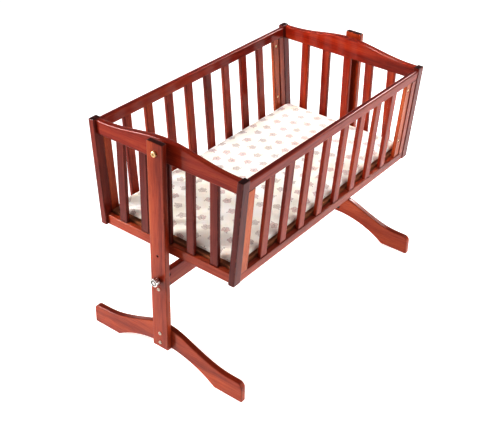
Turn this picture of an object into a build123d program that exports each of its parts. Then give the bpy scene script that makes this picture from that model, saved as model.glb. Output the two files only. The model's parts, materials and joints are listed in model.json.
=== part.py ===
from build123d import *
import math
import os

# Swinging baby cradle, millimetres. The origin is on the floor, midway between the two ends and the
# two sides. +X runs along the cradle from the near end to the far end, +Y to its left side, +Z up.
# The stand is two uprights on arched feet, joined by a stretcher. The basket hangs between the
# uprights on two pivot bolts. Its sides lean outward; its ends stand straight.

# Stand
UPRIGHT_FACE_X = 498.0      # outer face of each upright
BOARD_T = 18.0              # thickness of the uprights, feet, stretcher and end rails
UPRIGHT_W = 58.0
UPRIGHT_FOOT_Z = 60.0
UPRIGHT_TOP_Z = 763.0
FOOT_HALF_LEN = 295.0
FOOT_TOE_Z = 66.0
FOOT_CREST_Z = 130.0
ARCH_HALF_CHORD = 190.0
ARCH_RISE = 59.0
TOE_CORNER_R = 18.0
STRETCHER_Z = (271.0, 327.0)
PIVOT_Z = 729.0
LOCK_HOLE_Z = 394.0
LOCK_HOLE_R = 3.5
STRETCHER_BOLT_Z = 277.0
KNOB_Z = 310.0
FOOT_BOLT_Z = (79.0, 113.0)

# Basket frame
BASKET_END_X = 468.5        # outer face of the corner posts
POST_X = 30.0
POST_Y = 20.0
BASE_Z = 386.0              # bottom of the basket
RIM_Z = 729.0               # top of the corner posts
BASE_HALF_W = 252.0         # outer half width at the bottom
RIM_HALF_W = 280.0          # outer half width at the top
LEAN = math.degrees(math.atan2(RIM_HALF_W - BASE_HALF_W, RIM_Z - BASE_Z))

# End panels
NEAR_RAIL_X = (-459.5, -441.5)
FAR_RAIL_X = (447.5, 465.5)
END_TOP_RAIL_Z = (683.0, 727.0)
END_CREST_Z = 754.0
CREST_HALF_SPAN = 246.0
END_BOTTOM_RAIL_Z = (BASE_Z, 418.0)
END_SLATS = 5
END_SLAT_PITCH = 86.0
END_SLAT_W = 29.0

# Side panels; heights are measured before the panel leans
SIDE_INSET = 2.0            # outer face of the rails behind the outer face of the posts
SIDE_RAIL_T = 17.0
SIDE_TOP_RAIL_Z = (690.0, 722.0)
SIDE_BOTTOM_RAIL_Z = (BASE_Z, 415.0)
STILE_W = 30.0
SIDE_SLATS = 8
SIDE_SLAT_PITCH = 91.3
FIRST_SIDE_SLAT_X = -331.7
SIDE_SLAT_W = 30.0
SLAT_T = 12.0
TENON = 8.0
INNER_STILE_X = (384.0, 412.0)
PANEL_BOLT_Z = (475.0, 666.0)
PANEL_NUT_X = 398.0

# Bed
BOARD_Z = (412.0, 424.0)
MATTRESS_Z = (424.3, 449.0)
MATTRESS_X = (-438.0, 444.0)
MATTRESS_HALF_W = 234.0
LEDGE = 20.0

# Hardware
BOLT_R = 3.0
BOLT_HOLE_R = 3.5
BOLT_HEAD_R = 5.5
BOLT_HEAD_T = 3.2
NUT_R = 5.0
NUT_SETBACK = 20.0          # cross-dowel nut from the stretcher's end
PIVOT_R = 4.0
PIVOT_RUN = 0.05            # radial running clearance of the pivot bolt
BUSH_R = 6.5
KNOB_R = 13.5
KNOB_RECESS = (5.4, 9.2)    # radii of the ring sunk into the knob's face
KNOB_RECESS_DEPTH = 2.5
GAP = 0.3                   # clearance between parts that move past each other

ENDS = (("near", -1), ("far", 1))
SIDES = (("right", -1), ("left", 1))

os.makedirs("parts", exist_ok=True)


def save(name, shape):
    """Write one sub-part. A group of separate solids goes in as a compound."""
    export_step(shape, f"parts/{name}.step")


def bar(x, y, z):
    """Rectangular bar from its low and high limits along each axis."""
    size = [high - low for low, high in (x, y, z)]
    middle = [(high + low) / 2 for low, high in (x, y, z)]
    return Pos(*middle) * Box(*size)


def rod_x(radius, x, y, z):
    """Round rod along X between two limits."""
    return Pos((x[0] + x[1]) / 2, y, z) * Rot(0, 90, 0) * Cylinder(radius, x[1] - x[0])


def rod_y(radius, y, x, z):
    """Round rod along Y between two limits."""
    return Pos(x, (y[0] + y[1]) / 2, z) * Rot(90, 0, 0) * Cylinder(radius, y[1] - y[0])


def span(sign, a, b):
    """Limits a..b measured outward from the middle, on the side given by sign."""
    return tuple(sorted((sign * a, sign * b)))


def eased(part, radius):
    """Round every edge a little, as sanded wood is."""
    return fillet(part.edges(), radius)


def plate_x(outline, x):
    """Closed Y-Z outline made into a board between two X limits."""
    face = make_face(outline)
    return Pos(x[0], 0, 0) * extrude(Plane.YZ * face, amount=x[1] - x[0])


# --- Stand -------------------------------------------------------------------------------------

def make_upright(sign):
    x = span(sign, UPRIGHT_FACE_X - BOARD_T, UPRIGHT_FACE_X)
    board = bar(x, (-UPRIGHT_W / 2, UPRIGHT_W / 2), (UPRIGHT_FOOT_Z, UPRIGHT_TOP_Z))
    board = eased(board, 2.5)
    through = (x[0] - 1, x[1] + 1)
    board -= rod_x(BUSH_R, through, 0, PIVOT_Z)
    board -= rod_x(LOCK_HOLE_R, through, 0, LOCK_HOLE_Z)
    for z in (KNOB_Z, STRETCHER_BOLT_Z, *FOOT_BOLT_Z):
        board -= rod_x(BOLT_HOLE_R, through, 0, z)
    return board


def foot_outline():
    """Half of the foot is drawn from crest to toe, then mirrored."""
    toe_y = FOOT_HALF_LEN - TOE_CORNER_R
    crest = (0, FOOT_CREST_Z)
    shoulder = (toe_y, FOOT_TOE_Z)
    corner = (FOOT_HALF_LEN, FOOT_TOE_Z - TOE_CORNER_R)
    top = Spline(crest, (100, 104.5), (200, 71.5), shoulder, tangents=[(1, 0), (1, 0)])
    toe = RadiusArc(shoulder, corner, TOE_CORNER_R)
    down = Line(corner, (FOOT_HALF_LEN, 0))
    pad = Line((FOOT_HALF_LEN, 0), (ARCH_HALF_CHORD, 0))
    half = [top, toe, down, pad]
    other = [mirror(edge, about=Plane.YZ) for edge in half]
    arch = ThreePointArc((ARCH_HALF_CHORD, 0), (0, ARCH_RISE), (-ARCH_HALF_CHORD, 0))
    return [*half, arch, *other]


def make_foot(sign):
    outer = UPRIGHT_FACE_X - BOARD_T
    x = span(sign, outer - BOARD_T, outer)
    foot = plate_x(foot_outline(), x)
    rounded = foot.edges().filter_by(lambda edge: edge.center().Z > 1)
    foot = fillet(rounded.filter_by(Axis.X, reverse=True), 2.5)
    for z in FOOT_BOLT_Z:
        foot -= rod_x(NUT_R, span(sign, outer - BOARD_T - 1, outer - 6), 0, z)
        foot -= rod_x(BOLT_HOLE_R, span(sign, outer - BOARD_T, outer + 1), 0, z)
    return foot


def make_stretcher():
    half = UPRIGHT_FACE_X - BOARD_T
    rail = bar((-half, half), (-BOARD_T / 2, BOARD_T / 2), STRETCHER_Z)
    rail = fillet(rail.edges().filter_by(Axis.X), 2.5)
    for _, sign in ENDS:
        for z in (KNOB_Z, STRETCHER_BOLT_Z):
            rail -= rod_x(BOLT_HOLE_R, span(sign, half - 34, half + 1), 0, z)
            rail -= rod_y(NUT_R, (-BOARD_T / 2 - 1, BOARD_T / 2 - 2), sign * (half - NUT_SETBACK), z)
    return rail


# --- Basket ------------------------------------------------------------------------------------

def leaning(part, sign):
    """Lean a part drawn upright on the left side about the basket's bottom outer edge."""
    tilted = Rot(-LEAN, 0, 0) * (Pos(0, -BASE_HALF_W, -BASE_Z) * part)
    left = Pos(0, BASE_HALF_W, BASE_Z) * tilted
    return left if sign > 0 else mirror(left, about=Plane.XZ)


def outer_y(z):
    """Outer half width of the basket at a height."""
    return BASE_HALF_W + (z - BASE_Z) * math.tan(math.radians(LEAN))


def make_post(end, side):
    x = span(end, BASKET_END_X - POST_X, BASKET_END_X)
    corners = [
        (BASE_HALF_W, BASE_Z),
        (RIM_HALF_W, RIM_Z),
        (RIM_HALF_W - POST_Y, RIM_Z),
        (BASE_HALF_W - POST_Y, BASE_Z),
    ]
    post = plate_x(Polyline(*corners, close=True), x)
    post = fillet(post.edges(), 2.0)
    return post if side > 0 else mirror(post, about=Plane.XZ)


def end_top_outline():
    """Straight underside, ends that follow the leaning posts, and a low bell-shaped crest."""
    low, shoulder = END_TOP_RAIL_Z
    low_y = outer_y(low) - POST_Y
    high_y = outer_y(shoulder) - POST_Y
    crest = Spline(
        (CREST_HALF_SPAN, shoulder),
        (0, END_CREST_Z),
        (-CREST_HALF_SPAN, shoulder),
        tangents=[(-1, 0), (-1, 0), (-1, 0)],
    )
    return [
        Line((-low_y, low), (low_y, low)),
        Line((low_y, low), (high_y, shoulder)),
        Line((high_y, shoulder), (CREST_HALF_SPAN, shoulder)),
        crest,
        Line((-CREST_HALF_SPAN, shoulder), (-high_y, shoulder)),
        Line((-high_y, shoulder), (-low_y, low)),
    ]


def make_end_bottom_rail(x):
    low, high = END_BOTTOM_RAIL_Z
    corners = [
        (-(outer_y(low) - POST_Y), low),
        (outer_y(low) - POST_Y, low),
        (outer_y(high) - POST_Y, high),
        (-(outer_y(high) - POST_Y), high),
    ]
    return plate_x(Polyline(*corners, close=True), x)


def end_slats(x):
    """Five upright slats, tenoned into the rails above and below."""
    middle = (x[0] + x[1]) / 2
    z = (END_BOTTOM_RAIL_Z[1] - TENON, END_TOP_RAIL_Z[0] + TENON)
    slats = []
    for index in range(END_SLATS):
        y = (index - (END_SLATS - 1) / 2) * END_SLAT_PITCH
        across = (y - END_SLAT_W / 2, y + END_SLAT_W / 2)
        slat = bar((middle - SLAT_T / 2, middle + SLAT_T / 2), across, z)
        slats.append(fillet(slat.edges().filter_by(Axis.Z), 2.5))
    return slats


def make_end_panel(name, x, outward):
    slats = end_slats(x)
    top = plate_x(end_top_outline(), x)
    top = fillet(top.edges().filter_by(Axis.X, reverse=True), 3.0)
    bottom = make_end_bottom_rail(x)
    bottom = fillet(bottom.edges().filter_by(Axis.Y), 2.0)
    for slat in slats:
        top -= slat
        bottom -= slat
    outer_face = x[0] if outward < 0 else x[1]
    seat = tuple(sorted((outer_face, outer_face - outward * 14)))
    top -= rod_x(6.0, seat, 0, PIVOT_Z)
    bottom -= rod_x(4.5, seat, 0, LOCK_HOLE_Z)
    save(f"{name}_end_top_rail", top)
    save(f"{name}_end_bottom_rail", bottom)
    save(f"{name}_end_slats", Compound(children=slats))


def panel_y(thickness):
    """Limits across the side panel's thickness, centred on its rails, before it leans."""
    middle = BASE_HALF_W - SIDE_INSET - SIDE_RAIL_T / 2
    return (middle - thickness / 2, middle + thickness / 2)


def make_side_panel(name, side):
    half = BASKET_END_X - POST_X
    rail_y = panel_y(SIDE_RAIL_T)
    slat_y = panel_y(SLAT_T)
    middle_y = sum(rail_y) / 2

    top = bar((-half, half), rail_y, SIDE_TOP_RAIL_Z)
    long_edges = top.edges().filter_by(Axis.X)
    crown = long_edges.group_by(Axis.Z)[-1]
    top = fillet(crown, 5.0)
    top = fillet(top.edges().filter_by(Axis.X).group_by(Axis.Z)[0], 2.0)
    bottom = bar((-half, half), rail_y, SIDE_BOTTOM_RAIL_Z)
    bottom = fillet(bottom.edges().filter_by(Axis.X), 2.0)

    between = (SIDE_BOTTOM_RAIL_Z[1], SIDE_TOP_RAIL_Z[0])
    near_stile = bar((-half, STILE_W - half), rail_y, between)
    near_stile = fillet(near_stile.edges().filter_by(Axis.Z), 1.5)
    outer_stile = bar((INNER_STILE_X[1], half), rail_y, between)
    outer_stile = fillet(outer_stile.edges().filter_by(Axis.Z), 1.5)
    inner_stile = bar(INNER_STILE_X, slat_y, between)
    bolt_hole_x = (PANEL_NUT_X - 8, BASKET_END_X)
    for z in PANEL_BOLT_Z:
        hole = rod_x(BOLT_HOLE_R, bolt_hole_x, middle_y, z)
        outer_stile -= hole
        inner_stile -= hole
        inner_stile -= rod_y(NUT_R, (slat_y[0] - 1, slat_y[1] + 1), PANEL_NUT_X, z)
        near_stile -= rod_x(4.0, (-half, -half + 20), middle_y, z)

    tenoned = (between[0] - TENON, between[1] + TENON)
    for index in range(SIDE_SLATS):
        x = FIRST_SIDE_SLAT_X + index * SIDE_SLAT_PITCH
        slat = bar((x - SIDE_SLAT_W / 2, x + SIDE_SLAT_W / 2), slat_y, tenoned)
        slat = fillet(slat.edges().filter_by(Axis.Z), 2.5)
        top -= slat
        bottom -= slat
        save(f"{name}_side_slat_{index + 1}", leaning(slat, side))

    save(f"{name}_side_top_rail", leaning(top, side))
    save(f"{name}_side_bottom_rail", leaning(bottom, side))
    save(f"{name}_near_stile", leaning(near_stile, side))
    save(f"{name}_far_inner_stile", leaning(inner_stile, side))
    save(f"{name}_far_outer_stile", leaning(outer_stile, side))


def panel_fasteners():
    """Connector bolts and cross-dowel nuts at the far end, plain dowels at the near end."""
    y = sum(panel_y(SIDE_RAIL_T)) / 2
    half = BASKET_END_X - POST_X
    bolts = []
    nuts = []
    dowels = []
    for _, side in SIDES:
        for z in PANEL_BOLT_Z:
            head = rod_x(BOLT_HEAD_R, (BASKET_END_X - 6, BASKET_END_X - 6 + BOLT_HEAD_T), y, z)
            shank = rod_x(BOLT_R, (PANEL_NUT_X - 7, BASKET_END_X - 6), y, z)
            nut = rod_y(NUT_R, (y - SLAT_T / 2 + 1, y + SLAT_T / 2 - 1), PANEL_NUT_X, z)
            nut -= rod_x(BOLT_R, (PANEL_NUT_X - 9, PANEL_NUT_X + 9), y, z)
            bolts.append(leaning(head + shank, side))
            nuts.append(leaning(nut, side))
            dowels.append(leaning(rod_x(4.0, (-half - 20, -half + 20), y, z), side))
    return bolts, nuts, dowels


def bored_post(end, side):
    """Corner post with the panel fasteners' holes."""
    post = make_post(end, side)
    y = sum(panel_y(SIDE_RAIL_T)) / 2
    half = BASKET_END_X - POST_X
    for z in PANEL_BOLT_Z:
        if end > 0:
            hole = rod_x(BOLT_HOLE_R, (half - 1, BASKET_END_X), y, z)
            hole += rod_x(BOLT_HEAD_R + 0.5, (BASKET_END_X - 6, BASKET_END_X + 1), y, z)
        else:
            hole = rod_x(4.0, (-half - 20, -half + 1), y, z)
        post -= leaning(hole, side)
    return post


# --- Bed ---------------------------------------------------------------------------------------

def make_mattress():
    pad = bar(MATTRESS_X, (-MATTRESS_HALF_W, MATTRESS_HALF_W), MATTRESS_Z)
    pad = fillet(pad.edges().filter_by(Axis.Z), 25.0)
    return fillet(pad.edges().group_by(Axis.Z)[-1] + pad.edges().group_by(Axis.Z)[0], 7.0)


def make_board():
    z_low, z_high = BOARD_Z
    half_w = outer_y(z_low) - SIDE_INSET - SIDE_RAIL_T - 1.5
    x = (NEAR_RAIL_X[1] + 2, FAR_RAIL_X[0] - 2)
    return bar(x, (-half_w, half_w), (z_low, z_high))


def make_ledge(side):
    """Batten fixed inside each side's bottom rail to carry the board."""
    face = outer_y(BOARD_Z[0] - LEDGE) - SIDE_INSET - SIDE_RAIL_T
    y = span(side, face - LEDGE, face)
    half = BASKET_END_X - POST_X - 1
    ledge = bar((-half, half), y, (BOARD_Z[0] - LEDGE, BOARD_Z[0]))
    return fillet(ledge.edges().filter_by(Axis.X), 1.5)


# --- Hardware ----------------------------------------------------------------------------------

def button_bolt(sign, x_seat, length, z):
    """Domed socket bolt that points inward from its seat on an outer face."""
    head = rod_x(BOLT_HEAD_R, span(sign, x_seat, x_seat + BOLT_HEAD_T), 0, z)
    head = fillet(head.faces().sort_by(Axis.X)[-1 if sign > 0 else 0].edges(), 1.8)
    socket = Rot(0, 90, 0) * extrude(RegularPolygon(2.2, 6), amount=2.0, both=True)
    head -= Pos(sign * (x_seat + BOLT_HEAD_T), 0, z) * socket
    return head + rod_x(BOLT_R, span(sign, x_seat - length, x_seat), 0, z)


def make_stand_bolts():
    """At each end one bolt into the stretcher's cross-dowel nut and two into the foot's nuts."""
    into_stretcher = BOARD_T + NUT_SETBACK + 6
    into_foot = 2 * BOARD_T - 2
    bolts = []
    for _, sign in ENDS:
        bolts.append(button_bolt(sign, UPRIGHT_FACE_X, into_stretcher, STRETCHER_BOLT_Z))
        bolts += [button_bolt(sign, UPRIGHT_FACE_X, into_foot, z) for z in FOOT_BOLT_Z]
    return bolts


def make_foot_nuts():
    """Sleeve nuts let into the inner face of each foot."""
    inner = UPRIGHT_FACE_X - 2 * BOARD_T
    nuts = []
    for _, sign in ENDS:
        for z in FOOT_BOLT_Z:
            sleeve = rod_x(NUT_R, span(sign, inner, inner + 12), 0, z)
            flange = rod_x(8.0, span(sign, inner - 1.5, inner), 0, z)
            flange = fillet(flange.faces().sort_by(Axis.X)[0 if sign > 0 else -1].edges(), 1.0)
            nuts.append(sleeve + flange - rod_x(BOLT_R, span(sign, inner, inner + 13), 0, z))
    return nuts


def make_stretcher_nuts():
    x = UPRIGHT_FACE_X - BOARD_T - NUT_SETBACK
    nuts = []
    for _, sign in ENDS:
        for z in (KNOB_Z, STRETCHER_BOLT_Z):
            nut = rod_y(NUT_R, (-BOARD_T / 2 + 2, BOARD_T / 2 - 2), sign * x, z)
            run = PIVOT_RUN if z == KNOB_Z else 0.0
            nuts.append(nut - rod_x(BOLT_R + run, span(sign, x - 8, x + 8), 0, z))
    return nuts


def make_pivot_bolt(sign, rail_face):
    """Shoulder bolt with a broad domed head. It turns in the upright's bush with the basket."""
    seat = UPRIGHT_FACE_X + GAP
    head = rod_x(9.0, span(sign, seat, seat + 6), 0, PIVOT_Z)
    head = fillet(head.faces().sort_by(Axis.X)[-1 if sign > 0 else 0].edges(), 2.5)
    socket = Rot(0, 90, 0) * extrude(RegularPolygon(3.5, 6), amount=3.5, both=True)
    head -= Pos(sign * (seat + 6), 0, PIVOT_Z) * socket
    return head + rod_x(PIVOT_R, span(sign, abs(rail_face) - 13, seat), 0, PIVOT_Z)


def make_tube_x(outer, inner, x, z):
    return rod_x(outer, x, 0, z) - rod_x(inner, (x[0] - 1, x[1] + 1), 0, z)


def make_pivot_hardware():
    bolts = []
    spacers = []
    inserts = []
    bushes = []
    locks = []
    inner = UPRIGHT_FACE_X - BOARD_T
    for (_, sign), face in zip(ENDS, (NEAR_RAIL_X[0], FAR_RAIL_X[1])):
        rail = abs(face)
        bolts.append(make_pivot_bolt(sign, face))
        spacers.append(make_tube_x(8.0, PIVOT_R, span(sign, rail, inner - GAP), PIVOT_Z))
        inserts.append(make_tube_x(6.0, PIVOT_R, span(sign, rail - 14, rail), PIVOT_Z))
        bushes.append(make_tube_x(BUSH_R, PIVOT_R + PIVOT_RUN, span(sign, inner, inner + BOARD_T), PIVOT_Z))
        locks.append(make_tube_x(4.5, BOLT_R + PIVOT_RUN, span(sign, rail - 14, rail), LOCK_HOLE_Z))
    return bolts, spacers, inserts, bushes, locks


def make_lock_knob(sign):
    """Fluted turning knob on a short collar, seated on the upright's outer face."""
    seat = UPRIGHT_FACE_X + GAP
    collar = rod_x(7.5, span(sign, seat, seat + 5), 0, KNOB_Z)
    grip = rod_x(KNOB_R, span(sign, seat + 5, seat + 20), 0, KNOB_Z)
    grip = fillet(grip.edges().filter_by(GeomType.CIRCLE), 2.5)
    for index in range(8):
        angle = index * math.tau / 8
        y = math.cos(angle) * (KNOB_R + 1.6)
        z = KNOB_Z + math.sin(angle) * (KNOB_R + 1.6)
        grip -= rod_x(3.4, span(sign, seat + 4, seat + 21), y, z)
    sunk = span(sign, seat + 20 - KNOB_RECESS_DEPTH, seat + 21)
    grip -= rod_x(KNOB_RECESS[1], sunk, 0, KNOB_Z) - rod_x(KNOB_RECESS[0], sunk, 0, KNOB_Z)
    bore = rod_x(BOLT_R, span(sign, seat - 1, seat + 12), 0, KNOB_Z)
    return collar + grip - bore


def make_lock_stud(sign):
    tip = UPRIGHT_FACE_X - BOARD_T - NUT_SETBACK - 8
    stud = rod_x(BOLT_R, span(sign, tip, UPRIGHT_FACE_X + GAP + 12), 0, KNOB_Z)
    return chamfer(stud.faces().sort_by(Axis.X)[0 if sign > 0 else -1].edges(), 0.8)


for end_name, end_sign in ENDS:
    save(f"{end_name}_upright", make_upright(end_sign))
    save(f"{end_name}_foot", make_foot(end_sign))
    save(f"{end_name}_lock_knob", make_lock_knob(end_sign))
    save(f"{end_name}_lock_stud", make_lock_stud(end_sign))
    for side_name, side_sign in SIDES:
        save(f"{end_name}_{side_name}_post", bored_post(end_sign, side_sign))
save("stretcher", make_stretcher())

make_end_panel("near", NEAR_RAIL_X, -1)
make_end_panel("far", FAR_RAIL_X, 1)
for side_name, side_sign in SIDES:
    make_side_panel(side_name, side_sign)
    save(f"{side_name}_ledge", make_ledge(side_sign))
save("mattress", make_mattress())
save("mattress_board", make_board())

panel_bolts, panel_nuts, panel_dowels = panel_fasteners()
pivot_bolts, pivot_spacers, pivot_inserts, pivot_bushes, lock_inserts = make_pivot_hardware()
GROUPS = {
    "panel_bolts": panel_bolts,
    "panel_nuts": panel_nuts,
    "panel_dowels": panel_dowels,
    "pivot_bolts": pivot_bolts,
    "pivot_spacers": pivot_spacers,
    "pivot_inserts": pivot_inserts,
    "pivot_bushes": pivot_bushes,
    "lock_inserts": lock_inserts,
    "stand_bolts": make_stand_bolts(),
    "foot_nuts": make_foot_nuts(),
    "stretcher_nuts": make_stretcher_nuts(),
}
for group_name, solids in GROUPS.items():
    save(group_name, Compound(children=solids))
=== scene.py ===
import json
import math

import bmesh
import bpy
from mathutils import Matrix, Vector, noise
from mathutils.bvhtree import BVHTree


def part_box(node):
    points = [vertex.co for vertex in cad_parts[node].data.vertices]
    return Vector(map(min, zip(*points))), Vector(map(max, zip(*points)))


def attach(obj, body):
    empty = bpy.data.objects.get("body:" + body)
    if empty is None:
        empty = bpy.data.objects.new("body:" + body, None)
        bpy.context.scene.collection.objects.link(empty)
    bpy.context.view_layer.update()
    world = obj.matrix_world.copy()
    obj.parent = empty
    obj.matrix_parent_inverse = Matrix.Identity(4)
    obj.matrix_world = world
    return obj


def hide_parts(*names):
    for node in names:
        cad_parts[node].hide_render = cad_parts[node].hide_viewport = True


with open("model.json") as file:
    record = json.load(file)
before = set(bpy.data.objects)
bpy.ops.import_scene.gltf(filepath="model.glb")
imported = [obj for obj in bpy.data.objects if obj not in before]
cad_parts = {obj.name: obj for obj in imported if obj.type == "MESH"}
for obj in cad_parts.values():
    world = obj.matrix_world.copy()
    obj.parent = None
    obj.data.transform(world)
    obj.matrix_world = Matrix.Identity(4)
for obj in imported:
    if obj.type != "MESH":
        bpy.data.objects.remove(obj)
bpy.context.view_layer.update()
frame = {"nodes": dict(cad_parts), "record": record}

NODES = frame["nodes"]
MM = 0.001

# ------------------------------------------------------------------ node helpers

BEVEL_SAMPLES = 4
PIECE_SHIFT = (3.1, 4.7, 5.9)   # metres that a figure shifts, times a piece's own random number
ONCE = (1, 1, 1)                # a texture scale that stretches nothing


class Shader:
    """Short-hand for building one Principled material."""

    def __init__(self, name, coat=0.0, coat_roughness=0.1, sheen=0.0, metallic=0.0,
                 specular=0.5):
        self.material = bpy.data.materials.new(name)
        self.material.use_nodes = True
        self.tree = self.material.node_tree
        self.tree.nodes.clear()
        self.out = self.tree.nodes.new("ShaderNodeOutputMaterial")
        self.bsdf = self.tree.nodes.new("ShaderNodeBsdfPrincipled")
        self.bsdf.inputs["Coat Weight"].default_value = coat
        self.bsdf.inputs["Coat Roughness"].default_value = coat_roughness
        self.bsdf.inputs["Sheen Weight"].default_value = sheen
        self.bsdf.inputs["Metallic"].default_value = metallic
        self.bsdf.inputs["Specular IOR Level"].default_value = specular
        self.link(self.bsdf.outputs[0], self.out.inputs["Surface"])

    def link(self, source, target):
        self.tree.links.new(source, target)

    def feed(self, node, key, value):
        """Link a socket, or set a plain value."""
        if isinstance(value, bpy.types.NodeSocket):
            self.link(value, node.inputs[key])
        else:
            node.inputs[key].default_value = value

    def coordinates(self, kind):
        return self.tree.nodes.new("ShaderNodeTexCoord").outputs[kind]

    def place(self, scale=ONCE, varied=True):
        """Object coordinates, stretched. Varied ones are shifted differently on each piece."""
        coords = self.coordinates("Object")
        if varied:
            info = self.tree.nodes.new("ShaderNodeObjectInfo").outputs["Random"]
            shift = self.vector("MULTIPLY", self.combine(info, info, info), PIECE_SHIFT)
            coords = self.vector("ADD", coords, shift)
        mapping = self.tree.nodes.new("ShaderNodeMapping")
        self.link(coords, mapping.inputs["Vector"])
        mapping.inputs["Scale"].default_value = scale
        return mapping.outputs[0]

    def combine(self, x, y, z):
        node = self.tree.nodes.new("ShaderNodeCombineXYZ")
        for key, value in zip("XYZ", (x, y, z)):
            self.feed(node, key, value)
        return node.outputs[0]

    def split(self, vector):
        node = self.tree.nodes.new("ShaderNodeSeparateXYZ")
        self.link(vector, node.inputs[0])
        return node.outputs

    def vector(self, operation, a, b=(0, 0, 0)):
        node = self.tree.nodes.new("ShaderNodeVectorMath")
        node.operation = operation
        self.feed(node, 0, a)
        self.feed(node, 1, b)
        return node.outputs["Value" if operation in ("LENGTH", "DOT_PRODUCT") else "Vector"]

    def math(self, operation, a, b=0.0):
        node = self.tree.nodes.new("ShaderNodeMath")
        node.operation = operation
        for key, value in enumerate((a, b)):
            self.feed(node, key, value)
        return node.outputs[0]

    def noise(self, vector, scale, detail=3.0, roughness=0.5, distortion=0.0):
        node = self.tree.nodes.new("ShaderNodeTexNoise")
        self.link(vector, node.inputs["Vector"])
        node.inputs["Scale"].default_value = scale
        node.inputs["Detail"].default_value = detail
        node.inputs["Roughness"].default_value = roughness
        node.inputs["Distortion"].default_value = distortion
        return node.outputs["Fac"]

    def ramp(self, value, stops):
        """Colour or grey ramp: stops are (position, colour or grey)."""
        node = self.tree.nodes.new("ShaderNodeValToRGB")
        self.link(value, node.inputs[0])
        while len(node.color_ramp.elements) < len(stops):
            node.color_ramp.elements.new(0.5)
        for element, (position, colour) in zip(node.color_ramp.elements, stops):
            element.position = position
            shade = (colour,) * 3 if isinstance(colour, (int, float)) else colour
            element.color = (*shade, 1.0)
        return node.outputs[0]

    def mix(self, factor, a, b):
        node = self.tree.nodes.new("ShaderNodeMix")
        node.data_type = "RGBA"
        self.feed(node, "Factor", factor)
        for socket, value in ((node.inputs[6], a), (node.inputs[7], b)):
            if isinstance(value, bpy.types.NodeSocket):
                self.link(value, socket)
            else:
                socket.default_value = (*value, 1.0)
        return node.outputs[2]

    def eased(self, radius):
        """Normals as if every edge were rounded to a radius."""
        bevel = self.tree.nodes.new("ShaderNodeBevel")
        bevel.samples = BEVEL_SAMPLES
        bevel.inputs["Radius"].default_value = radius
        return bevel.outputs[0]

    def edges(self, radius, low, high):
        """1 within a radius of an edge, 0 on flat faces."""
        geometry = self.tree.nodes.new("ShaderNodeNewGeometry").outputs["Normal"]
        agree = self.vector("DOT_PRODUCT", self.eased(radius), geometry)
        return self.ramp(agree, [(low, 1.0), (high, 0.0)])

    def bump(self, height, distance, strength=1.0, rounding=0.0):
        """Fine relief. With a rounding, the arrises catch the light over that radius."""
        node = self.tree.nodes.new("ShaderNodeBump")
        if rounding:
            normal = self.eased(rounding)
            self.link(normal, node.inputs["Normal"])
            self.link(normal, self.bsdf.inputs["Coat Normal"])
        node.inputs["Strength"].default_value = strength
        node.inputs["Distance"].default_value = distance
        self.link(height, node.inputs["Height"])
        self.link(node.outputs[0], self.bsdf.inputs["Normal"])

    def finish(self, colour, roughness):
        self.feed(self.bsdf, "Base Color", colour)
        self.feed(self.bsdf, "Roughness", roughness)
        return self.material


def assign(obj, material):
    obj.data.materials.clear()
    obj.data.materials.append(material)


# ------------------------------------------------------------------ wood

GRAIN_STRETCH = 0.05        # how much slower the figure changes along the grain than across it
RING_SCALE = 22.0
FIBRE_SCALE = 260.0
PORE_SCALE = 620.0
CLOUD_SCALE = 6.0
RING_SHARE = 0.66           # of the grain's contrast; the fine fibre has the rest
PORE_DEPTH = 0.30
TOP_PAINTED_SHADE = 0.65            # how far faces that look up go to the deep tone: painted shade on the tops
ARRIS = 3.0 * MM            # width over which an edge shows painted shade and rubbed spots
# how far edges and joints go dark: painted shade
ARRIS_PAINTED_SHADE = 0.85
ARRIS_GLINT = 4.0 * MM      # width over which an edge catches the light
# colour of end grain, and of the painted shade along edges
END_GRAIN_AND_EDGE_SHADE = (0.030, 0.002, 0.001)
PORE = (0.09, 0.005, 0.003)
WORN = (0.62, 0.14, 0.05)
TONES = {
    "dark": ((0.060, 0.004, 0.003), (0.17, 0.017, 0.008), (0.28, 0.042, 0.018)),
    "middle": ((0.125, 0.005, 0.002), (0.30, 0.030, 0.008), (0.44, 0.080, 0.020)),
    "light": ((0.170, 0.016, 0.005), (0.38, 0.064, 0.018), (0.52, 0.130, 0.040)),
    "pale": ((0.260, 0.040, 0.012), (0.50, 0.115, 0.032), (0.62, 0.190, 0.060)),
}


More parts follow.
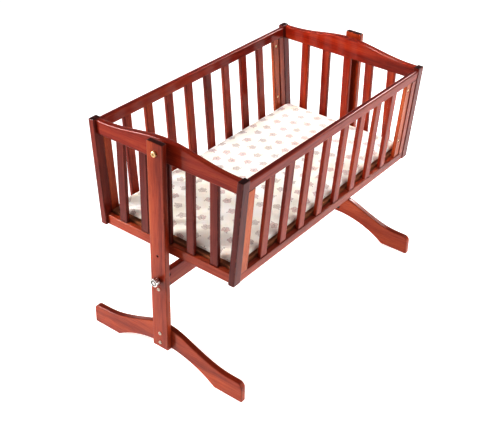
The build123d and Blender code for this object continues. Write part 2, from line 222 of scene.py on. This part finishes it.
def stained_wood(name, axis, tone, painted_shade_top):
    """Cherry-red stained hardwood under gloss lacquer, with its grain along one axis."""
    deep, middle, light = TONES[tone]
    wood = Shader(name, coat=0.80, coat_roughness=0.09, specular=0.1)
    stretch = [1.0, 1.0, 1.0]
    stretch["XYZ".index(axis)] = GRAIN_STRETCH
    figure = wood.place(stretch)
    rings = wood.noise(figure, RING_SCALE, detail=3.0, roughness=0.5, distortion=0.7)
    fine = wood.noise(figure, FIBRE_SCALE, detail=3.0, roughness=0.6, distortion=0.3)
    pores = wood.ramp(wood.noise(figure, PORE_SCALE, detail=2.0), [(0.32, 1.0), (0.44, 0.0)])
    cloud = wood.noise(wood.place(), CLOUD_SCALE, detail=3.0)

    grain = wood.math("ADD", wood.math("MULTIPLY", rings, RING_SHARE),
                      wood.math("MULTIPLY", fine, 1.0 - RING_SHARE))
    colour = wood.ramp(grain, [(0.30, deep), (0.50, middle), (0.70, light)])
    colour = wood.mix(wood.ramp(cloud, [(0.35, 0.0), (0.75, 0.35)]), colour, deep)
    colour = wood.mix(wood.math("MULTIPLY", pores, PORE_DEPTH), colour, PORE)
    upward = wood.split(wood.coordinates("Normal"))[2]
    if axis == "Z":
        thirsty = wood.math("ABSOLUTE", upward)
        colour = wood.mix(wood.ramp(thirsty, [(0.60, 0.0), (0.90, 0.9)]), colour, END_GRAIN_AND_EDGE_SHADE)
    elif painted_shade_top:
        # faces that look up go towards the deep tone: painted shade on the tops
        colour = wood.mix(wood.ramp(upward, [(0.70, 0.0), (0.95, TOP_PAINTED_SHADE)]), colour, deep)
    # every edge and joint goes towards the end-grain colour: painted shade; the rubbed patches
    # after it are wear
    arris = wood.edges(ARRIS, 0.90, 0.995)
    colour = wood.mix(wood.math("MULTIPLY", arris, ARRIS_PAINTED_SHADE), colour, END_GRAIN_AND_EDGE_SHADE)
    patches = wood.noise(wood.place(), 46.0, detail=4.0)
    rubbed = wood.math("MULTIPLY", arris, wood.ramp(patches, [(0.52, 0.0), (0.66, 0.6)]))
    colour = wood.mix(rubbed, colour, WORN)

    polish = wood.noise(wood.place(), 14.0, detail=4.0)
    rough = wood.math("ADD", wood.ramp(polish, [(0.3, 0.30), (0.7, 0.42)]),
                      wood.math("MULTIPLY", pores, 0.08))
    relief = wood.math("ADD", wood.math("MULTIPLY", fine, 0.4), wood.math("MULTIPLY", pores, -0.6))
    wood.bump(relief, 0.05 * MM, 0.35, rounding=ARRIS_GLINT)
    return wood.finish(colour, rough)


def grain_axis(name):
    """Boards run their grain along their length."""
    if any(word in name for word in ("side_top_rail", "side_bottom_rail", "stretcher", "ledge")):
        return "X"
    if any(word in name for word in ("end_top_rail", "end_bottom_rail", "foot")):
        return "Y"
    return "Z"


def stain_and_light_tone(name):
    """Boards took the stain unevenly, and some tones stand in for light: corner posts dark from
    their stain, near slats dark as painted shade, stand and stiles light, and the right near stile
    and far inner stiles pale as painted light.
    """
    if "post" in name or name == "near_end_slats":
        return "dark"
    if "far_inner_stile" in name or name == "right_near_stile":
        return "pale"
    if any(word in name for word in ("upright", "foot", "stile", "bottom_rail")):
        return "light"
    return "middle"


WOOD = {}


def wood_for(name):
    """The wood of one piece, made once for each grain direction, tone and painted shade on its
    tops.
    """
    # side top rails and feet get painted shade on their tops
    painted_shade_top = "side_top_rail" in name or "foot" in name
    key = grain_axis(name), stain_and_light_tone(name), painted_shade_top
    if key not in WOOD:
        label = f"stained_wood_{key[0].lower()}_{key[1]}" + ("_dark_top" if painted_shade_top else "")
        WOOD[key] = stained_wood(label, *key)
    return WOOD[key]


# ------------------------------------------------------------------ other hard materials


def metal(name, bright, dull, roughness, brushed=False):
    """Plated metal: slightly uneven tone and polish, darker in its fine scratches, with painted
    highlight along its edges.
    """
    plate = Shader(name, metallic=1.0)
    stretch = (0.08, 1, 1) if brushed else ONCE
    haze = plate.noise(plate.place(stretch), 160.0, detail=4.0)
    scratch = plate.noise(plate.place((1, 0.05, 1)), 900.0, detail=2.0)
    colour = plate.ramp(haze, [(0.32, dull), (0.62, bright)])
    colour = plate.mix(plate.ramp(scratch, [(0.60, 0.0), (0.72, 0.35)]), colour, dull)
    # edges go towards the bright tone: painted highlight
    edge = plate.math("MULTIPLY", plate.edges(0.8 * MM, 0.80, 0.98), 0.35)
    colour = plate.mix(edge, colour, bright)
    rough = plate.ramp(haze, [(0.3, roughness * 0.7), (0.7, roughness * 1.35)])
    plate.bump(scratch, 0.02 * MM, 0.4)
    return plate.finish(colour, rough)


def nylon():
    """Near-black moulded plastic with a fine grain."""
    moulded = Shader("nylon", specular=0.4)
    grain = moulded.noise(moulded.place(), 1400.0, detail=2.0)
    tone = moulded.noise(moulded.place(), 90.0, detail=3.0)
    colour = moulded.ramp(tone, [(0.3, (0.018, 0.014, 0.013)), (0.7, (0.035, 0.028, 0.025))])
    moulded.bump(grain, 0.05 * MM, 0.5)
    return moulded.finish(colour, moulded.ramp(tone, [(0.3, 0.42), (0.7, 0.58)]))


def bare_wood():
    """Unfinished softwood, with its grain along X."""
    plain = Shader("bare_wood", specular=0.3)
    figure = plain.place((GRAIN_STRETCH, 1, 1))
    grain = plain.noise(figure, 260.0, detail=4.0, distortion=0.5)
    colour = plain.ramp(grain, [(0.3, (0.45, 0.28, 0.14)), (0.7, (0.66, 0.47, 0.28))])
    plain.bump(grain, 0.1 * MM, 0.5)
    return plain.finish(colour, plain.ramp(grain, [(0.3, 0.62), (0.7, 0.75)]))


def hardboard():
    """Brown pressed board with a fibrous, slightly shiny face."""
    board = Shader("hardboard", specular=0.35)
    fibre = board.noise(board.place(), 520.0, detail=4.0, roughness=0.7)
    tone = board.noise(board.place(), 12.0, detail=4.0)
    colour = board.ramp(tone, [(0.3, (0.30, 0.115, 0.050)), (0.7, (0.42, 0.180, 0.085))])
    colour = board.mix(board.ramp(fibre, [(0.45, 0.0), (0.75, 0.5)]), colour, (0.18, 0.060, 0.026))
    board.bump(fibre, 0.08 * MM, 0.5)
    return board.finish(colour, board.ramp(fibre, [(0.3, 0.45), (0.7, 0.65)]))


def knob_metal(node):
    """Bright plated knob; the groove ring in its face is painted near-black as painted shade, and
    its edges painted near-white as painted highlight.
    """
    low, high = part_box(node)
    middle = (low + high) / 2
    plate = Shader("chrome_" + node, metallic=1.0)
    haze = plate.noise(plate.place(), 160.0, detail=4.0)
    colour = plate.ramp(haze, [(0.32, (0.52, 0.50, 0.48)), (0.62, (0.78, 0.77, 0.75))])
    _, y, z = plate.split(plate.coordinates("Object"))
    sideways = plate.math("SUBTRACT", y, middle.y)
    upwards = plate.math("SUBTRACT", z, middle.z)
    away = plate.vector("LENGTH", plate.combine(sideways, upwards, 0.0))
    reach = plate.math("MULTIPLY", away, 10.0)      # 1 at 100 mm, so that a ramp can read it
    # the groove ring in the face is painted near-black: painted shade
    groove_shade = plate.ramp(reach, [(0.050, 0.0), (0.056, 0.9), (0.090, 0.9), (0.096, 0.0)])
    colour = plate.mix(groove_shade, colour, (0.10, 0.09, 0.085))
    # edges go nearly white: painted highlight
    edge = plate.math("MULTIPLY", plate.edges(0.8 * MM, 0.80, 0.98), 0.5)
    colour = plate.mix(edge, colour, (0.88, 0.87, 0.85))
    plate.bump(haze, 0.05 * MM, 0.5)
    return plate.finish(colour, plate.ramp(haze, [(0.3, 0.16), (0.7, 0.30)]))


STEEL = metal("zinc_steel", (0.80, 0.76, 0.68), (0.42, 0.38, 0.32), 0.34, brushed=True)
# near-black steel for nuts that sit in holes: painted shade of the holes
HOLE_SHADE_STEEL = metal("dull_steel", (0.16, 0.12, 0.10), (0.05, 0.035, 0.03), 0.45)
BRASS = metal("brass", (0.95, 0.80, 0.52), (0.62, 0.42, 0.20), 0.32)
HARD = {
    "steel": STEEL,
    "brass": BRASS,
    "nylon": nylon(),
    "bare_wood": bare_wood(),
    "hardboard": hardboard(),
}
SHADED_IN_HOLES = ("stretcher_nuts", "foot_nuts")

SLOT_OF = {part["node"]: part["material_slot"] for part in frame["record"]["subparts"]}
for node_name, node in NODES.items():
    finish = SLOT_OF[node_name]
    if finish == "stained_wood":
        assign(node, wood_for(node_name))
    elif finish == "chrome":
        assign(node, knob_metal(node_name))
    elif node_name in SHADED_IN_HOLES:
        assign(node, HOLE_SHADE_STEEL)
    elif finish in HARD:
        assign(node, HARD[finish])


# ------------------------------------------------------------------ printed mattress cover

PRINT_PITCH = 0.055         # metres from motif to motif along a row
ROW_PITCH = 0.046
CREAM = (0.90, 0.86, 0.76)
WHITE = (0.92, 0.90, 0.85)
ROSE = (0.54, 0.29, 0.29)
TAUPE = (0.40, 0.31, 0.28)
HEART = (0.17, 0.09, 0.08)
THREAD_PITCH = 0.7 * MM
ROW_STAGGER = 0.45          # how far each row starts along from the one before, in pitches
STRAY = (0.42, 0.16)        # least place of a motif within its cell, and how far it strays
PETALS = 5
PETAL_REACH = 8.0 * MM      # from a blossom's heart to the middle of a petal
PETAL_SIZE = 5.6 * MM
DOT_SIZE = 1.9 * MM
BUD = (16.0 * MM, 3.0 * MM)
PRINT_BLEED = 9 * MM        # how ragged the printed outline is
FILL_INK = 0.42
RIM_INK = 0.60
DOT_INK = 0.85


def blots(cloth, along, across, centres, size, ragged):
    """How far inside the nearest of some ragged round blots a point lies: 1 is 10 mm."""
    inside = None
    for u, v in centres:
        offset = cloth.combine(cloth.math("SUBTRACT", along, u),
                               cloth.math("SUBTRACT", across, v), 0.0)
        reach = cloth.math("ADD", cloth.vector("LENGTH", offset), ragged)
        depth = cloth.math("SUBTRACT", size, reach)
        inside = depth if inside is None else cloth.math("MAXIMUM", inside, depth)
    return cloth.math("MULTIPLY", inside, 100.0)


def printed_cover(top_z):
    """Fine cotton printed with small blossoms. The print runs on over the pad's edges."""
    cloth = Shader("printed_cover", sheen=0.3, specular=0.2)
    cloth.bsdf.inputs["Subsurface Weight"].default_value = 0.35
    cloth.bsdf.inputs["Subsurface Radius"].default_value = (1.0, 0.9, 0.8)
    cloth.bsdf.inputs["Subsurface Scale"].default_value = 12 * MM
    x, y, z = cloth.split(cloth.coordinates("Object"))
    nx, ny, _ = cloth.split(cloth.coordinates("Normal"))
    drop = cloth.math("SUBTRACT", top_z, z)
    u = cloth.math("ADD", x, cloth.math("MULTIPLY", nx, drop))
    v = cloth.math("ADD", y, cloth.math("MULTIPLY", ny, drop))
    row = cloth.math("FLOOR", cloth.math("DIVIDE", v, ROW_PITCH))
    u = cloth.math("ADD", u, cloth.math("MULTIPLY", row, PRINT_PITCH * ROW_STAGGER))
    column = cloth.math("FLOOR", cloth.math("DIVIDE", u, PRINT_PITCH))
    white = cloth.tree.nodes.new("ShaderNodeTexWhiteNoise")
    white.noise_dimensions = "3D"
    cloth.link(cloth.combine(column, row, 0.0), white.inputs["Vector"])
    pick, turn, shade = cloth.split(white.outputs["Color"])
    least, stray = STRAY
    away = []
    for place, cell, chance, pitch in ((u, column, turn, PRINT_PITCH), (v, row, pick, ROW_PITCH)):
        inset = cloth.math("ADD", least, cloth.math("MULTIPLY", chance, stray))
        centre = cloth.math("MULTIPLY", cloth.math("ADD", cell, inset), pitch)
        away.append(cloth.math("SUBTRACT", place, centre))
    du, dv = away
    spin = cloth.math("MULTIPLY", shade, 2 * math.pi)
    sine = cloth.math("SINE", spin)
    cosine = cloth.math("COSINE", spin)
    along = cloth.math("ADD", cloth.math("MULTIPLY", du, cosine),
                       cloth.math("MULTIPLY", dv, sine))
    across = cloth.math("SUBTRACT", cloth.math("MULTIPLY", dv, cosine),
                        cloth.math("MULTIPLY", du, sine))

    bleed = cloth.noise(cloth.place(varied=False), 210.0, detail=4.0, roughness=0.65)
    ragged = cloth.math("MULTIPLY", cloth.math("SUBTRACT", bleed, 0.5), PRINT_BLEED)
    turns = [2 * math.pi * petal / PETALS for petal in range(PETALS)]
    petals = [(PETAL_REACH * math.cos(angle), PETAL_REACH * math.sin(angle)) for angle in turns]
    inside = blots(cloth, along, across, petals, PETAL_SIZE, ragged)
    fill = cloth.ramp(inside, [(0.0, 0.0), (0.06, 1.0)])
    rim = cloth.ramp(inside, [(0.0, 0.0), (0.05, 1.0), (0.13, 1.0), (0.20, 0.0)])
    even = cloth.math("MULTIPLY", ragged, 0.12)
    dots = blots(cloth, along, across, ((0.0, 0.0), BUD), DOT_SIZE, even)
    hearts = cloth.ramp(dots, [(0.0, 0.0), (0.05, 1.0)])

    warm = cloth.noise(cloth.place(varied=False), 11.0, detail=3.0)
    base = cloth.ramp(warm, [(0.35, WHITE), (0.55, CREAM), (0.72, WHITE)])
    tint = cloth.mix(cloth.ramp(pick, [(0.40, 0.0), (0.60, 1.0)]), ROSE, TAUPE)
    colour = cloth.mix(cloth.math("MULTIPLY", fill, FILL_INK), base, tint)
    colour = cloth.mix(cloth.math("MULTIPLY", rim, RIM_INK), colour, TAUPE)
    colour = cloth.mix(cloth.math("MULTIPLY", hearts, DOT_INK), colour, HEART)

    threads = []
    for way in (cloth.math("ADD", x, z), cloth.math("ADD", y, z)):
        phase = cloth.math("MULTIPLY", way, 2 * math.pi / THREAD_PITCH)
        threads.append(cloth.math("SINE", phase))
    weave = cloth.math("MULTIPLY", threads[0], threads[1])
    cloth.bump(weave, 0.06 * MM, 0.35)
    return cloth.finish(colour, cloth.ramp(warm, [(0.3, 0.78), (0.7, 0.90)]))


# ------------------------------------------------------------------ mattress

CROWN = 0.48                # share of the pad's thickness that its upper edge rounds off
TUCK = 0.25                 # and its lower edge
CORNER = 26 * MM
SHRINK = Vector((1.5, 1.5, 2.0)) * MM       # room on each side for the pad to swell into
VOXEL = 6 * MM
PRESSURE = 4.0
SWELL_CAP = 5 * MM
SIM_FRAMES = 20
RIPPLE = 0.9 * MM           # height of the slow waves in the top
PUCKER = 0.5 * MM           # height of the gathers near the seam
PUCKER_START = 0.86         # share of the way out from the middle where the gathers begin
PIPING_RADIUS = 0.9 * MM
PIPING_HEIGHT = 5.0 * MM    # above the pad's underside
PIPING_INSET = Vector((3, 3, 0)) * MM
PIPING_CORNER = 25 * MM
PIPING_STEP = 18 * MM
PIPING_PROUD = 0.35 * MM


def slab_mesh(name, low, high, rounding):
    """Slab with rounded corners and edges, fuller above than below."""
    mesh = bpy.data.meshes.new(name)
    obj = bpy.data.objects.new(name, mesh)
    bpy.context.collection.objects.link(obj)
    bm = bmesh.new()
    bmesh.ops.create_cube(bm, size=1.0)
    size = high - low
    middle = (high + low) / 2
    for vert in bm.verts:
        vert.co = Vector(a * b for a, b in zip(vert.co, size)) + middle
    upright = [e for e in bm.edges if abs((e.verts[0].co - e.verts[1].co).z) > 1e-6]
    bmesh.ops.bevel(bm, geom=upright, offset=rounding, segments=8, affect="EDGES", profile=0.5)
    for facing, share in ((1, CROWN), (-1, TUCK)):
        bm.normal_update()
        rim = [e for e in bm.edges if len(e.link_faces) == 2
               and {round(f.normal.z) for f in e.link_faces} == {0, facing}]
        bmesh.ops.bevel(bm, geom=rim, offset=size.z * share, segments=5, affect="EDGES",
                        profile=0.5)
    bm.to_mesh(mesh)
    bm.free()
    return obj


def apply_modifiers(obj):
    """Bake an object's modifiers into its mesh."""
    depsgraph = bpy.context.evaluated_depsgraph_get()
    fresh = bpy.data.meshes.new_from_object(obj.evaluated_get(depsgraph))
    obj.modifiers.clear()
    obj.data = fresh


def inflate(obj):
    """Swell a closed pad by cloth simulation, with every point kept near where it began."""
    start = [v.co.copy() for v in obj.data.vertices]
    cloth = obj.modifiers.new("cloth", "CLOTH")
    cloth.settings.quality = 5
    cloth.settings.mass = 0.3
    cloth.settings.tension_stiffness = 25
    cloth.settings.compression_stiffness = 25
    cloth.settings.bending_stiffness = 3
    cloth.settings.use_pressure = True
    cloth.settings.uniform_pressure_force = PRESSURE
    cloth.settings.effector_weights.gravity = 0
    scene = bpy.context.scene
    for number in range(1, SIM_FRAMES + 1):
        scene.frame_set(number)
    apply_modifiers(obj)
    scene.frame_set(1)
    for vert, home in zip(obj.data.vertices, start):
        move = vert.co - home
        if move.length > SWELL_CAP:
            vert.co = home + move.normalized() * SWELL_CAP


def waves(point, per_metre, layer):
    """Smooth unevenness from -1 to 1, the same each run."""
    return noise.noise(Vector((point.x * per_metre, point.y * per_metre, layer)))


def settle(pad, low, high):
    """Ripple the top and gather it near the edge; keep the underside on its board."""
    middle = (low + high) / 2
    half = (high - low) / 2
    for vert in pad.data.vertices:
        co = vert.co
        outward = max(abs(co.x - middle.x) / half.x, abs(co.y - middle.y) / half.y)
        gather = max(0.0, outward - PUCKER_START) / (1 - PUCKER_START)
        if co.z > middle.z:
            co.z += waves(co, 9, 3.0) * RIPPLE + waves(co, 55, 8.0) * PUCKER * gather
        co.z = max(co.z, low.z)


def make_mattress():
    """Thin crowned pad in its printed cover, in place of the plain CAD slab."""
    low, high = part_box("mattress")
    pad = slab_mesh("mattress_pad", low + SHRINK, high - SHRINK, CORNER)
    remesh = pad.modifiers.new("remesh", "REMESH")
    remesh.mode = "VOXEL"
    remesh.voxel_size = VOXEL
    apply_modifiers(pad)
    inflate(pad)
    settle(pad, low, high)
    smooth = pad.modifiers.new("smooth", "SMOOTH")
    smooth.iterations = 3
    smooth.factor = 0.5
    subdivide = pad.modifiers.new("subdivide", "SUBSURF")
    subdivide.levels = 1
    subdivide.render_levels = 1
    apply_modifiers(pad)
    for polygon in pad.data.polygons:
        polygon.use_smooth = True
    assign(pad, printed_cover(high.z))
    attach(pad, "basket")
    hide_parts("mattress")
    return pad


def outline_points(low, high, corner, steps=10):
    """Rounded rectangle at one height, as a closed ring of points."""
    points = []
    centres = [
        (high.x - corner, high.y - corner, 0),
        (low.x + corner, high.y - corner, 90),
        (low.x + corner, low.y + corner, 180),
        (high.x - corner, low.y + corner, 270),
    ]
    for cx, cy, start in centres:
        for step in range(steps + 1):
            angle = math.radians(start + 90 * step / steps)
            reach = Vector((math.cos(angle), math.sin(angle), 0)) * corner
            points.append(Vector((cx, cy, 0)) + reach)
    return points


def make_piping(pad):
    """Narrow self-coloured piping sewn round the pad's lower edge."""
    low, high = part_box("mattress")
    tree = BVHTree.FromObject(pad, bpy.context.evaluated_depsgraph_get())
    ring = outline_points(low + PIPING_INSET, high - PIPING_INSET, PIPING_CORNER)
    dense = []
    for index, point in enumerate(ring):
        following = ring[(index + 1) % len(ring)]
        count = max(1, int((following - point).length / PIPING_STEP))
        dense += [point.lerp(following, step / count) for step in range(count)]

    curve = bpy.data.curves.new("mattress_piping_lower", "CURVE")
    curve.dimensions = "3D"
    curve.bevel_depth = PIPING_RADIUS
    curve.bevel_resolution = 3
    spline = curve.splines.new("POLY")
    spline.points.add(len(dense) - 1)
    for target, point in zip(spline.points, dense):
        probe = Vector((point.x, point.y, low.z + PIPING_HEIGHT))
        near, normal, _, _ = tree.find_nearest(probe)
        target.co = (*(near + normal * PIPING_PROUD), 1.0)
    spline.use_cyclic_u = True
    piping = bpy.data.objects.new(curve.name, curve)
    bpy.context.collection.objects.link(piping)
    assign(piping, pad.data.materials[0])
    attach(piping, "basket")


make_piping(make_mattress())

# ------------------------------------------------------------------ floor, light and camera

FLOOR_HALF = 9.0
FLOOR_GLOW = 0.45           # the lit sweep's own light
HORIZON = (1.0, 1.0, 1.0, 1.0)
ZENITH = (0.14, 0.14, 0.15, 1.0)
HORIZON_RISE = (0.06, 0.22)     # height of the view line over which the white turns dark


def make_floor():
    """Pale sweep that glows a little, as if lit from below."""
    mesh = bpy.data.meshes.new("floor")
    corners = [(x * FLOOR_HALF, y * FLOOR_HALF, 0) for x, y in ((-1, -1), (1, -1), (1, 1), (-1, 1))]
    mesh.from_pydata(corners, [], [(0, 1, 2, 3)])
    floor = bpy.data.objects.new("floor", mesh)
    bpy.context.collection.objects.link(floor)
    paint = Shader("pale_floor", specular=0.1)
    paint.bsdf.inputs["Emission Color"].default_value = (1, 1, 1, 1)
    paint.bsdf.inputs["Emission Strength"].default_value = FLOOR_GLOW
    tone = paint.noise(paint.place(varied=False), 0.8, detail=2.0)
    assign(floor, paint.finish(paint.ramp(tone, [(0.3, 0.88), (0.7, 0.90)]), 0.9))


def area_light(name, energy, size, place, aim, spread=180):
    """Soft box of some watts at a place, facing a point. The camera doesn't see it."""
    data = bpy.data.lights.new(name, "AREA")
    data.energy = energy
    data.spread = math.radians(spread)
    data.shape = "RECTANGLE"
    data.size, data.size_y = size
    light = bpy.data.objects.new(name, data)
    bpy.context.collection.objects.link(light)
    light.location = place
    light.rotation_mode = "QUATERNION"
    light.rotation_quaternion = (Vector(aim) - Vector(place)).to_track_quat("-Z", "Y")
    light.visible_camera = False


def make_world():
    """White near the horizon, dark overhead, as in a studio with a white sweep."""
    world = bpy.data.worlds.new("studio")
    bpy.context.scene.world = world
    world.use_nodes = True
    tree = world.node_tree
    tree.nodes.clear()
    output = tree.nodes.new("ShaderNodeOutputWorld")
    background = tree.nodes.new("ShaderNodeBackground")
    coords = tree.nodes.new("ShaderNodeTexCoord")
    split = tree.nodes.new("ShaderNodeSeparateXYZ")
    ramp = tree.nodes.new("ShaderNodeValToRGB")
    tree.links.new(coords.outputs["Generated"], split.inputs[0])
    tree.links.new(split.outputs["Z"], ramp.inputs[0])
    stops = zip(ramp.color_ramp.elements, HORIZON_RISE, (HORIZON, ZENITH))
    for element, position, colour in stops:
        element.position = position
        element.color = colour
    tree.links.new(ramp.outputs[0], background.inputs["Color"])
    background.inputs["Strength"].default_value = 1.0
    tree.links.new(background.outputs[0], output.inputs["Surface"])


CAMERA_PLACE = (-2.163, -1.593, 2.060)
CAMERA_AZIMUTH = -54.93     # degrees
CAMERA_ELEVATION = 29.18
CAMERA_ROLL = 2.35
CAMERA_SHIFT = (-0.07, -0.145)
FOCAL_LENGTH = 989.0 / 500.0    # in picture widths
SENSOR = 36.0


def make_camera():
    """The photograph's viewpoint: it looks down on the near end and the right side."""
    data = bpy.data.cameras.new("camera")
    data.sensor_width = SENSOR
    data.lens = FOCAL_LENGTH * SENSOR
    data.shift_x, data.shift_y = CAMERA_SHIFT
    camera = bpy.data.objects.new("camera", data)
    bpy.context.collection.objects.link(camera)
    azimuth = math.radians(CAMERA_AZIMUTH)
    elevation = math.radians(CAMERA_ELEVATION)
    roll = math.radians(CAMERA_ROLL)
    flat = math.cos(elevation)
    back = Vector((math.sin(azimuth) * flat, -math.cos(azimuth) * flat, math.sin(elevation)))
    right = Vector((0, 0, 1)).cross(back).normalized()
    up = back.cross(right)
    side = right * math.cos(roll) + up * math.sin(roll)
    top = up * math.cos(roll) - right * math.sin(roll)
    turn = Matrix((side, top, back)).transposed().to_4x4()
    camera.matrix_world = Matrix.Translation(CAMERA_PLACE) @ turn
    bpy.context.scene.camera = camera


make_floor()
make_world()
area_light("key", 3.9, (0.6, 0.7), (-1.6, 1.5, 1.25), (-0.5, 0.1, 0.3), spread=56)
area_light("overhead", 8.0, (2.0, 1.4), (-0.2, -0.3, 3.1), (-0.1, -0.1, 0.2), spread=140)
area_light("right", 12.0, (1.8, 1.2), (1.0, -2.9, 2.0), (0.5, -0.9, 0.0), spread=120)
area_light("far_fill", 1.8, (0.5, 0.5), (-1.7, 0.6, 2.5), (0.5, 0.08, 0.6), spread=26)
area_light("window", 54.0, (2.4, 0.5), (3.1, -0.7, 3.0), (0.30, -0.28, 0.74))
make_camera()
VIEW = bpy.context.scene.view_settings
VIEW.view_transform = "Standard"
VIEW.exposure = 0.58
VIEW.gamma = 0.70           # a contrasty studio picture: whites run out and shadows close up
